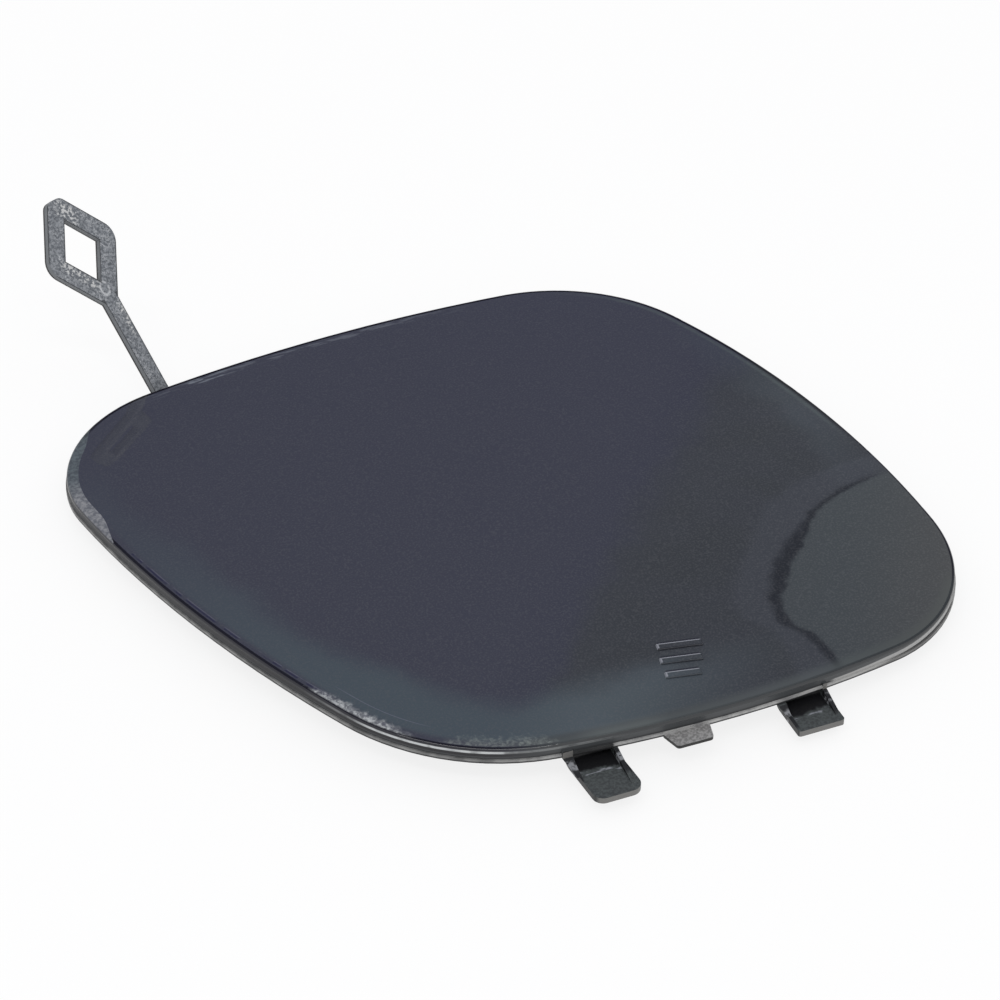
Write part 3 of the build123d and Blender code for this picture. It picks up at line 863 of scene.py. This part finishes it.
# %% Tongue colour
TONGUE_DARK, TONGUE_LIGHT = (0.160, 0.158, 0.156, 1), (0.30, 0.297, 0.293, 1)
TONGUE_SIDE_SHADE = (0.004, 0.004, 0.004, 1)

tongue_grain = soft_step(tree, noise(tree, position, 0.42 * MM, Detail=3.0), 0.36, 0.66)
tongue_colour = mix_colour(tree, tongue_grain, TONGUE_DARK, TONGUE_LIGHT)
# Painted light on the level top, painted shade on the sides.
level = soft_step(tree, facing_z, 0.6, 0.9)
tongue_colour = mix_colour(tree, level, TONGUE_SIDE_SHADE, tongue_colour)
print("tongue coloured")

# %% [markdown]
# ## One shader for the whole moulding
#
# The masks choose colour, roughness and bump, and one Principled shader does the rest. The index
# of refraction is that of the plastic and is the same all over, so it is set on the shader itself.

# %% Assemble the plastic
RIGHT_HIGHLIGHT_GREY = (0.36, 0.36, 0.35, 1)
EDGE_HIGHLIGHT_GREY = (0.50, 0.52, 0.52, 1)
GLOSSY, SATIN = 0.025, 0.46
TETHER_ROUGH, VEIN_ROUGH = 0.50, 0.34
PEEL_HEIGHT, MILLED_HEIGHT, WANDER_HEIGHT, VEIN_HEIGHT = 0.010, 0.30, 0.45, 0.25
BUMP_STRENGTH, BUMP_DISTANCE = 0.6, 0.1 * MM
PLASTIC_IOR = 1.5

colour = coats(
    tree, raw_colour,
    (on_show_face, face_colour),
    (on_wall, wall_colour),
    (on_lip, lip_colour),
    (right_highlight_line, RIGHT_HIGHLIGHT_GREY),
    (edge_highlight_line, EDGE_HIGHLIGHT_GREY),
    (on_tether, tether_colour),
    (on_tongue, tongue_colour),
)
glossy_share = product(tree, on_show_face, rest_of(tree, face_dull))
roughness = mix_number(tree, glossy_share, SATIN, GLOSSY)
tether_roughness = mix_number(tree, vein_share, TETHER_ROUGH, VEIN_ROUGH)
roughness = mix_number(tree, on_tether, roughness, tether_roughness)
height = mix_number(
    tree, on_show_face, product(tree, milled, MILLED_HEIGHT), product(tree, peel, PEEL_HEIGHT))
tether_height = plus(
    tree, product(tree, wander, WANDER_HEIGHT), product(tree, veins, VEIN_HEIGHT))
height = mix_number(tree, on_tether, height, tether_height)
bump = add(
    tree, "ShaderNodeBump",
    {"Height": height, "Strength": BUMP_STRENGTH, "Distance": BUMP_DISTANCE},
)
shader = add(
    tree, "ShaderNodeBsdfPrincipled",
    {"Base Color": colour, "Roughness": roughness, "Normal": bump.outputs["Normal"],
     "IOR": PLASTIC_IOR},
)
add(tree, "ShaderNodeOutputMaterial", {"Surface": shader.outputs["BSDF"]})
for slot in cover.material_slots:
    slot.material = plastic
print("material", plastic.name, "has", len(tree.nodes), "nodes")

# %% [markdown]
# ## Floor
#
# The photograph has a plain white ground. The floor is a white sheet that takes the part's soft
# shadow. A sheet that only scatters light looks light grey, so camera and mirror rays see mostly
# plain white instead, mixed with enough of the real sheet to keep the shadow.

# %% Floor
FLOOR_SIZE = 6.0
SHEET_WHITE = (0.92, 0.92, 0.92, 1)
PLAIN_SHARE = 0.82

bpy.ops.object.select_all(action="DESELECT")
bpy.ops.mesh.primitive_plane_add(size=FLOOR_SIZE, location=(0, 0, 0))
floor = bpy.context.object
floor.name = "floor"
paper = bpy.data.materials.new("white_paper")
paper.use_nodes = True
sheet_tree = paper.node_tree
sheet_tree.nodes.clear()
sheet = add(sheet_tree, "ShaderNodeBsdfDiffuse", {"Color": SHEET_WHITE})
plain_white = add(sheet_tree, "ShaderNodeEmission", {"Color": (1, 1, 1, 1), "Strength": 1.0})
rays = add(sheet_tree, "ShaderNodeLightPath")
seen = largest(sheet_tree, rays.outputs["Is Camera Ray"], rays.outputs["Is Glossy Ray"])
seen = product(sheet_tree, seen, PLAIN_SHARE)
surface = add(
    sheet_tree, "ShaderNodeMixShader", {0: seen, 1: sheet.outputs[0], 2: plain_white.outputs[0]})
add(sheet_tree, "ShaderNodeOutputMaterial", {"Surface": surface.outputs[0]})
floor.data.materials.append(paper)
print("floor", FLOOR_SIZE, "m wide")

# %% [markdown]
# ## The slate card
#
# Glossy black plastic shows mostly what stands around it. A studio for such a part has white cloth
# all about and a slate card where the crowned face mirrors it. The world shader builds the same:
# the card is described on a flat screen square to the mirrored view, in slopes across and up. It
# is dark to the left and lighter to the right, with faint folds.

# %% Slate card
MIRROR_AXIS = Vector((0.2861, 0.7190, 0.6334))
SCREEN_ACROSS = Vector((0.9291, -0.3697, 0.0))
SCREEN_UP = Vector((-0.2342, -0.5885, 0.7738))
SLANT = (0.953, 0.302, 0.0)
LEAST_AHEAD = 0.05
CARD_LEFT = (0.08, 0.085, 0.17, 1)
CARD_RIGHT = (0.36, 0.39, 0.43, 1)
FOLD_COLOUR = (0.50, 0.52, 0.72, 1)
FOLD_CELL, FOLD_SHARE = 0.045, 0.20

world = bpy.data.worlds.new("studio")
scene.world = world
world.use_nodes = True
sky = world.node_tree
sky.nodes.clear()
direction = add(sky, "ShaderNodeTexCoord").outputs["Generated"]
ahead = largest(sky, dot(sky, direction, MIRROR_AXIS), LEAST_AHEAD)
screen_x = sum_of(sky, "DIVIDE", dot(sky, direction, SCREEN_ACROSS), ahead)
screen_y = sum_of(sky, "DIVIDE", dot(sky, direction, SCREEN_UP), ahead)
screen_point = add(sky, "ShaderNodeCombineXYZ", {"X": screen_x, "Y": screen_y, "Z": 0.0})
screen = screen_point.outputs[0]

card_right = soft_step(sky, dot(sky, screen, SLANT), 0.06, 0.14)
card_colour = mix_colour(sky, card_right, CARD_LEFT, CARD_RIGHT)
stretched_screen = vector_sum(sky, "MULTIPLY", screen, (0.45, 1.0, 1.0)).outputs["Vector"]
folds = soft_step(sky, noise(sky, stretched_screen, FOLD_CELL, Detail=2.0), 0.40, 0.62)
card_colour = coats(
    sky, card_colour, (product(sky, folds, card_right, FOLD_SHARE), FOLD_COLOUR))
print("card coloured")

# %% [markdown]
# ## The torn edge of the card
#
# The card is torn near its right end, and the face mirrors the tear as a dark ragged curve with a
# pale halo on one side and lighter cloth on the other. The tear runs up the screen and wanders
# across, so a float curve gives its place at each height, and a rough noise frays it. Its ends
# fade, as the blurred ends of the curve do in the picture.

# %% Torn edge
TEAR_X_FROM, TEAR_X_SPAN = 0.15, 0.15
TEAR_Y_FROM, TEAR_Y_SPAN = -0.10, 0.30
TEAR_POINTS = (
    (0.00, 1.00), (0.14, 0.66), (0.21, 0.53), (0.32, 0.405), (0.45, 0.345), (0.61, 0.287),
    (0.67, 0.280), (0.73, 0.32), (0.765, 0.45), (0.83, 0.545), (1.00, 0.62),
)
TEAR_CELL, TEAR_FRAY = 0.013, 0.017
TEAR_THIN, TEAR_BELLY, TEAR_FOOT = 0.0040, 0.0075, 0.0065
TEAR_BLURRED, TEAR_CRISP = 0.045, 0.0008
TEAR_COLOUR = (0.01, 0.01, 0.02, 1)
HALO_COLOUR = (0.53, 0.57, 0.69, 1)
BEYOND_LEFT, BEYOND_RIGHT = (0.62, 0.72, 0.76, 1), (0.92, 0.90, 0.84, 1)

tear_factor = product(sky, minus(sky, screen_y, TEAR_Y_FROM), 1.0 / TEAR_Y_SPAN)
tear = add(sky, "ShaderNodeFloatCurve", {"Value": tear_factor})
tear_curve = tear.mapping.curves[0]
tear_curve.points[0].location = TEAR_POINTS[0]
tear_curve.points[1].location = TEAR_POINTS[-1]
for point in TEAR_POINTS[1:-1]:
    tear_curve.points.new(*point)
tear.mapping.update()
tear_x = plus(sky, product(sky, tear.outputs[0], TEAR_X_SPAN), TEAR_X_FROM)
torn = noise(sky, screen, TEAR_CELL, Detail=6.0, Roughness=0.68)
ragged = product(sky, minus(sky, torn, 0.5), TEAR_FRAY)
past = minus(sky, plus(sky, screen_x, ragged), tear_x)

along_tear = between(sky, screen_y, -0.062, 0.150, 0.02)
tear_softness = mix_number(sky, along_tear, TEAR_BLURRED, TEAR_CRISP)
past_tear = soft_step(sky, past, product(sky, tear_softness, -1.0), tear_softness)
halo = product(sky, between(sky, past, -0.034, -0.004, 0.012), card_right)
right_edge = soft_step(sky, screen_x, 0.22, 0.34)
beyond_colour = mix_colour(sky, right_edge, BEYOND_LEFT, BEYOND_RIGHT)

tear_belly = product(sky, between(sky, screen_y, 0.02, 0.105, 0.07), TEAR_BELLY)
tear_foot = product(sky, between(sky, screen_y, 0.120, 0.146, 0.012), TEAR_FOOT)
tear_width = plus(sky, plus(sky, tear_belly, TEAR_THIN), tear_foot)
inside_line = sum_of(sky, "DIVIDE", past, tear_width)
tear_line = product(
    sky,
    soft_step(sky, inside_line, 0.2, -0.15),
    soft_step(sky, inside_line, -1.35, -0.55),
    between(sky, screen_y, -0.052, 0.149, 0.012),
)
card_colour = coats(
    sky, card_colour,
    (product(sky, halo, 0.8), HALO_COLOUR), (past_tear, beyond_colour),
    (tear_line, TEAR_COLOUR),
)
print("tear drawn through", len(TEAR_POINTS), "points")

# %% [markdown]
# ## The white cloth and the dark frame
#
# Outside the card a dark frame keeps the rounded edges dark, because they mirror what lies beside
# the card. Only mirror rays see card and frame. All other light comes from even, slightly grey
# cloth, so the part is lit as plainly as if neither were there, and the camera sees plain white.

# %% Studio around the part
CARD_HALF_WIDTH, CARD_HALF_HEIGHT, CARD_SOFT = 0.37, 0.32, 0.02
FRAME_HALF, FRAME_SOFT = 2.2, 0.3
FRAME_COLOUR = (0.10, 0.10, 0.13, 1)
CLOTH_COLOUR = (0.88, 0.88, 0.90, 1)
PLAIN_WHITE = (1, 1, 1, 1)

off_x = sum_of(sky, "ABSOLUTE", screen_x)
off_y = sum_of(sky, "ABSOLUTE", screen_y)
on_card = product(
    sky, soft_step(sky, off_x, CARD_HALF_WIDTH + CARD_SOFT, CARD_HALF_WIDTH),
    soft_step(sky, off_y, CARD_HALF_HEIGHT + CARD_SOFT, CARD_HALF_HEIGHT))
on_frame = soft_step(sky, largest(sky, off_x, off_y), FRAME_HALF + FRAME_SOFT, FRAME_HALF)
framed_card = mix_colour(sky, on_card, FRAME_COLOUR, card_colour)
mirrored_colour = mix_colour(sky, on_frame, CLOTH_COLOUR, framed_card)
rays = add(sky, "ShaderNodeLightPath")
seen_colour = coats(
    sky, CLOTH_COLOUR,
    (rays.outputs["Is Glossy Ray"], mirrored_colour), (rays.outputs["Is Camera Ray"], PLAIN_WHITE))
background = add(sky, "ShaderNodeBackground", {"Color": seen_colour, "Strength": 1.0})
add(sky, "ShaderNodeOutputWorld", {"Surface": background.outputs[0]})
print("studio built, nodes", len(sky.nodes))

# %% [markdown]
# ## Overhead strip light
#
# The white surroundings do nearly all the lighting. One narrow strip lamp overhead adds what they
# can't: a thin bright line along the rounded edges that face the camera.

# %% Strip light
STRIP_SIZE = (0.9, 0.16)
STRIP_POWER = 2.2
STRIP_PLACE = Vector((-0.28, -0.42, 1.0))

strip_data = bpy.data.lights.new("strip", "AREA")
strip_data.shape = "RECTANGLE"
strip_data.size, strip_data.size_y = STRIP_SIZE
strip_data.energy = STRIP_POWER
strip = bpy.data.objects.new("strip", strip_data)
strip.location = STRIP_PLACE
strip.rotation_euler = STRIP_PLACE.to_track_quat("Z", "Y").to_euler()
scene.collection.objects.link(strip)
print("strip lamp of", STRIP_POWER, "W")

# %% [markdown]
# ## Finish
#
# The view transform is set to Standard.

# %% Finish
scene.view_settings.view_transform = "Standard"
